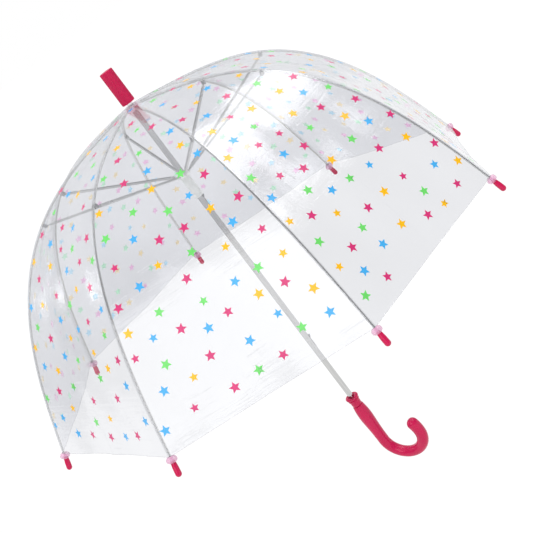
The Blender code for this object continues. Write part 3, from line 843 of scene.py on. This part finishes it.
def cut(piece, cutter):
    """piece with the cutter taken away."""
    modifier = piece.modifiers.new("cut", "BOOLEAN")
    modifier.operation = "DIFFERENCE"
    modifier.solver = "EXACT"
    modifier.object = cutter
    bpy.context.view_layer.update()
    mesh = bpy.data.meshes.new_from_object(piece.evaluated_get(bpy.context.evaluated_depsgraph_get()))
    piece.modifiers.clear()
    piece.data = mesh
    bpy.data.objects.remove(cutter)
    mesh.shade_smooth()
    mesh.set_sharp_from_angle(angle=SMOOTH_CUT)
    return piece


def rod(name, start, stop, radius, sides=32):
    start, stop = Vector(start), Vector(stop)
    axis = stop - start
    solid = bmesh.new()
    bmesh.ops.create_cone(
        solid, cap_ends=True, segments=sides, radius1=radius, radius2=radius, depth=axis.length
    )
    turn = axis.to_track_quat("Z", "Y").to_matrix().to_4x4()
    bmesh.ops.transform(solid, matrix=Matrix.Translation((start + stop) / 2) @ turn, verts=solid.verts)
    mesh = bpy.data.meshes.new(name)
    solid.to_mesh(mesh)
    solid.free()
    return place_mesh(name, mesh)


def make_ribs():
    section = channel_section(0.0011, 0.0009, 0.0004)
    inner = swept("rib_steel_inner", rib_path(0.006, FLEX_AT - 0.00015, 40), section, RIB_STEEL)
    tongue_section = [(0.0007, -0.0007), (0.0007, 0.0005), (-0.0007, 0.0005), (-0.0007, -0.0007)]
    tongue = swept("tongue", rib_path(-0.0016, 0.0085, 6), tongue_section, RIB_STEEL)
    inner = joined("rib_strip", [inner, tongue])
    outer = swept("rib_tip", rib_path(FLEX_AT + 0.00015, RIB_LENGTH - 0.0005, 64), section, RIB_STEEL)
    for index in range(RIB_COUNT):
        for source, label in ((inner, "rib"), (outer, "rib_outer")):
            piece = copy_round(source, f"{label}_steel_{index + 1}", index)
            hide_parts(f"{label}_{index + 1}")
            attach(piece, f"{label}_{index + 1}")
    bpy.data.objects.remove(inner)
    bpy.data.objects.remove(outer)


WELD_HALF = ((-0.0021, 0.0), (-0.0018, 0.00026), (-0.0014, 0.00012), (-0.0007, 0.00012), (0.0, 0.00012))
WELD_SECTION = WELD_HALF + tuple((-d, h) for d, h in reversed(WELD_HALF[:-1]))


def weld_strip(index, start, stop, rows):
    """The welded seam over a rib: a flat clear band on both gores with a thin bead at each edge."""
    s = np.linspace(start, stop, rows)
    width = gore_width(s)
    top, low = [], []
    for side, lift in WELD_SECTION:
        gore, share = (index - 1, 1 + side / width) if side < 0 else (index, side / width)
        base = FILM / 2 + 0.00002
        top.append(film_points(gore, s, share, base + lift + 0.00002))
        low.append(film_points(gore, s, share, base))
    return shell(rows, len(WELD_SECTION), np.stack(top, axis=1), np.stack(low, axis=1))


def make_welds():
    for index in range(RIB_COUNT):
        for length, (start, stop) in LENGTHS.items():
            first = max(start, WELD_START)
            verts, faces = weld_strip(index, first, stop, WELD_ROWS)
            piece = new_object(f"weld_{length}_{index + 1}", verts, faces, [WELD_LOOK])
            piece.data.set_sharp_from_angle(angle=RIM_ANGLE)
            layer = piece.data.uv_layers.new(name="film_metres")
            half = len(verts) // 2
            for loop in piece.data.loops:
                row, column = divmod(loop.vertex_index % half, len(WELD_SECTION))
                layer.data[loop.index].uv = (0.0012 * column, first + (stop - first) * row / (WELD_ROWS - 1))
            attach(piece, BODIES[length].format(index + 1))


def make_hems():
    """The turned and welded lower edge of each half gore: a fine bead along the film's end."""
    for index in range(RIB_COUNT):
        for half, (t_range, side) in enumerate((((0.0, 0.5), 1), ((0.5, 1.0), -1))):
            rib = (index + half) % RIB_COUNT
            share = np.linspace(*t_range, HEM_POINTS)
            path = film_points(index, np.full(HEM_POINTS, CANOPY_END), share)
            name = f"hem_{index + 1}{'ab'[half]}"
            piece = tube_along(name, path, [HEM_R] * HEM_POINTS, 8, [WELD_LOOK])
            fold(piece)
            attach(piece, f"rib_outer_{rib + 1}")


def make_tip_caps():
    """Each cap is a bulb on the rib's end with a clear pink rosette that grips the film's corner."""
    end_radius, end_height = (float(v) for v in rib_line(RIB_LENGTH))
    tilt = math.pi / 2 + float(rib_slope(np.array(RIB_LENGTH)))
    middle = CAP_REACH - CAP_BULB
    profile = [(0.0019, -0.0030), (0.0024, -0.0034), (0.0027, -0.0030), (0.0032, 0.0), (0.0036, middle * 0.4)]
    profile += arc(0, middle, CAP_BULB, 0, 84, 9)
    profile += [(0.0, CAP_REACH), (0.0, 0.0015), (0.0019, 0.0015)]
    cap = turned("cap", profile, 40, [PINK])
    petals = [(0.0019, -0.0086), (0.0038, -0.0090), (0.0052, -0.0080), (0.0061, -0.0062), (0.0062, -0.0046)]
    petals += [(0.0057, -0.0030), (0.0046, -0.0018), (0.0036, -0.0012), (0.0019, -0.0012)]
    rose = turned("rose", petals, 48, [PINK_CLEAR], ripple_count=6, ripple_depth=0.0004, rippled=(3, 4, 5))
    for index in range(RIB_COUNT):
        turn = rib_turn(index)
        place = Matrix.Rotation(turn, 4, "Z") @ Matrix.Translation((end_radius, 0, end_height))
        place = place @ Matrix.Rotation(tilt, 4, "Y")
        for source, label in ((cap, "tip_bulb"), (rose, "tip_rosette")):
            mesh = source.data.copy()
            mesh.transform(place)
            piece = place_mesh(f"{label}_{index + 1}", mesh)
            if source is cap:
                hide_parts(f"tip_cap_{index + 1}")
            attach(piece, f"rib_outer_{index + 1}")
    bpy.data.objects.remove(cap)
    bpy.data.objects.remove(rose)


def make_ferrule():
    bottom, top = CROWN_Z + 0.0016, CAD_HIGH.z
    flute = 0.0089
    outer = [(flute - 0.0011, top), (flute - 0.0003, top - 0.0002), (flute, top - 0.0009)]
    outer += [(flute, z) for z in np.linspace(top - 0.004, bottom + 0.004, 6)]
    outer += [(flute, bottom + 0.0005), (flute - 0.0004, bottom)]
    bore, deep = SHAFT_R + GAP, CROWN_Z + 0.0305
    inner = [(bore, bottom), (bore, deep), (0.0, deep), (0.0, top)]
    piece = turned(
        "ferrule_moulding",
        outer + inner,
        FLUTES * 8,
        [PINK_FERRULE],
        ripple_count=FLUTES,
        ripple_depth=FLUTE_DEPTH,
        rippled=range(2, 10),
    )
    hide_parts("ferrule")
    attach(piece, "root")


def hook_radius(distance, total):
    """Half thickness of the handle: slim at the collar, a swell for the palm, a rounded end."""
    swell = 0.0018 * math.exp(-((distance - 0.020) / 0.022) ** 2)
    neck = 0.0010 * math.exp(-distance / 0.007)
    tail = 0.0006 * max(0.0, (distance - 0.12) / (total - 0.12))
    radius = 0.0080 + swell - neck + tail
    left = total - distance
    if left < radius:
        radius = math.sqrt(max(radius ** 2 - (radius - left) ** 2, 1e-9))
    return radius


def hook_path(distance):
    """Point on the handle's middle line: down, half a turn towards +X, and up."""
    straight = 2 * GRIP_HALF - GAP
    if distance < straight:
        return 0.0, 0.0, GRIP_HALF - GAP - distance
    turn = (distance - straight) / HOOK_BEND_R
    if turn < math.pi:
        return HOOK_BEND_R * (1 - math.cos(turn)), 0.0, -GRIP_HALF - HOOK_BEND_R * math.sin(turn)
    lean = (distance - straight - math.pi * HOOK_BEND_R) / HOOK_CURL_R
    x = 2 * HOOK_BEND_R - HOOK_CURL_R * (1 - math.cos(lean))
    return x, 0.0, -GRIP_HALF + HOOK_CURL_R * math.sin(lean)


def make_handle():
    total = 2 * GRIP_HALF - GAP + math.pi * HOOK_BEND_R + HOOK_END
    end = 0.0086
    stations = [0.0, 0.0003, 0.0007] + list(np.linspace(0.0012, total - end, 110))
    stations += [total - end * (1 - math.sin(a)) for a in (math.pi / 2 * k / 12 for k in range(1, 12))]
    stations.append(total - 0.00005)
    radii = [hook_radius(d, total) for d in stations]
    radii[0] -= 0.0006
    radii[1] -= 0.0002
    hook = tube_along("handle_grip", [hook_path(d) for d in stations], radii, 44, [PINK])
    hook = cut(hook, rod("bore", (0, 0, -0.0125), (0, 0, GRIP_HALF + 0.001), SHAFT_R + GAP))
    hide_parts("handle_hook")

    low = GRIP_HALF + GAP
    bead_r, bead_z, bead = 0.0072, low + 0.0144, 0.0026
    rim = arc(bead_r, bead_z, bead, 168, -48, 22)
    waist = [(0.0080, low + 0.0110), (0.0085, low + 0.0105), (0.0085, low + 0.0095), (0.0078, low + 0.0089)]
    waist += [(0.0076, low + 0.0080), (0.0074, low + 0.0040), (0.0072, low + 0.0006), (0.0068, low)]
    profile = [(SHAFT_R + GAP, bead_z + 0.0004)] + rim + waist + [(SHAFT_R + GAP, low)]
    collar = turned("handle_cup", profile, 72, [PINK])
    across = direction(-49.0, 0.0) * 0.02
    middle = Vector((0, 0, bead_z + bead + 0.0004))
    collar = cut(collar, rod("notch", middle - across, middle + across, 0.0034, 40))
    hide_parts("handle_collar")
    for piece in (hook, collar):
        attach(piece, "root")


def make_shaft():
    """The tube, with the two windows that its catch springs stand in."""
    low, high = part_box("shaft_tube")
    profile = [(SHAFT_R, high.z - 0.0001), (SHAFT_R, low.z + 0.0001), (SHAFT_R - SHAFT_WALL, low.z)]
    profile += [(SHAFT_R - SHAFT_WALL, high.z)]
    tube = turned("shaft", profile, 64, [CHROME])
    turn = Matrix.Rotation(RIB_PHASE + RIB_STEP / 2, 4, "Z")
    for spring in ("top_spring", "bottom_spring"):
        bottom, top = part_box(spring)
        window = bmesh.new()
        bmesh.ops.create_cube(window, size=1.0)
        size = (*WINDOW, top.z - bottom.z + WINDOW_SPARE)
        centre = (WINDOW[0] / 2, 0, (top.z + bottom.z) / 2)
        place = turn @ Matrix.Translation(centre) @ Matrix.Diagonal((*size, 1))
        bmesh.ops.transform(window, matrix=place, verts=window.verts)
        mesh = bpy.data.meshes.new("window")
        window.to_mesh(mesh)
        window.free()
        tube = cut(tube, place_mesh("window", mesh))
    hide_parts("shaft_tube")
    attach(tube, "root")


def dress_cad():
    numbers = range(1, RIB_COUNT + 1)
    recolour([f"rib_clip_{n}" for n in numbers], SPRING_STEEL)
    recolour([f"stretcher_{n}" for n in numbers], ARM_STEEL)
    recolour(["crown_wire", "top_spring", "bottom_spring"], SPRING_STEEL)
    recolour(["crown_hub", "crown_washer"], CROWN_CLEAR)
    recolour(["runner"], MILKY)


make_floor()
make_world()
make_lights()
make_camera()
bpy.context.scene.view_settings.view_transform = "Standard"
dress_cad()
make_shaft()
make_ribs()
make_ferrule()
make_handle()
make_tip_caps()
make_canopy()
make_welds()
make_hems()
